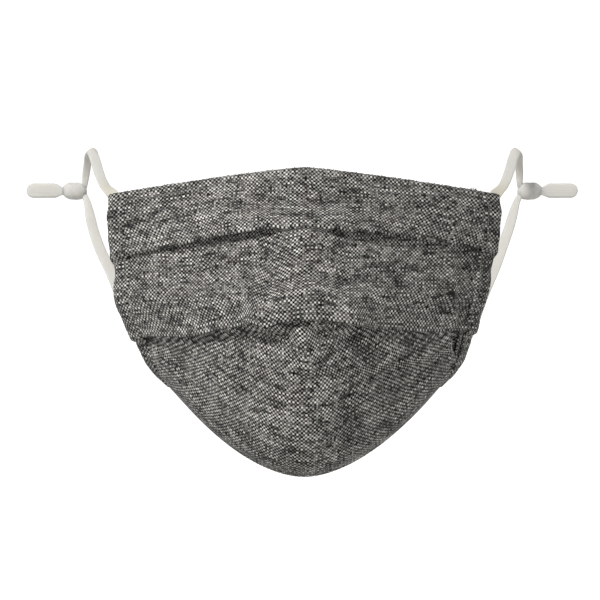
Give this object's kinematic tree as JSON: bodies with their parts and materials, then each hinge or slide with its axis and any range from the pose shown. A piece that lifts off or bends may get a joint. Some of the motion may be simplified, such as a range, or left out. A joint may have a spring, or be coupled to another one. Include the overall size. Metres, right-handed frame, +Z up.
{
  "type": "cloth face mask",
  "caption": "Pleated cloth face mask in its worn form, with sewn side casings and flat elastic ear loops knotted behind the ears.",
  "frame": {"origin": "middle of the top edge on the inside of the cloth, where the mask sits on the bridge of the nose", "axes": "+X to the right of someone who looks at the mask's front, +Y from the front back towards the ears, +Z up"},
  "size_m": [0.2064, 0.134, 0.1223],
  "materials": {
    "cloth": "matte melange plain weave of black and raw white yarn",
    "casing_cloth": "the same melange plain weave, sewn round the side edge",
    "elastic": "matte off-white knitted elastic"
  },
  "bodies": {
    "root": {"mask_body": "cloth", "side_casing_left": "casing_cloth", "side_casing_right": "casing_cloth", "ear_loop_left": "elastic", "ear_loop_right": "elastic", "ear_knot_left": "elastic", "ear_knot_right": "elastic"}
  },
  "joints": []
}
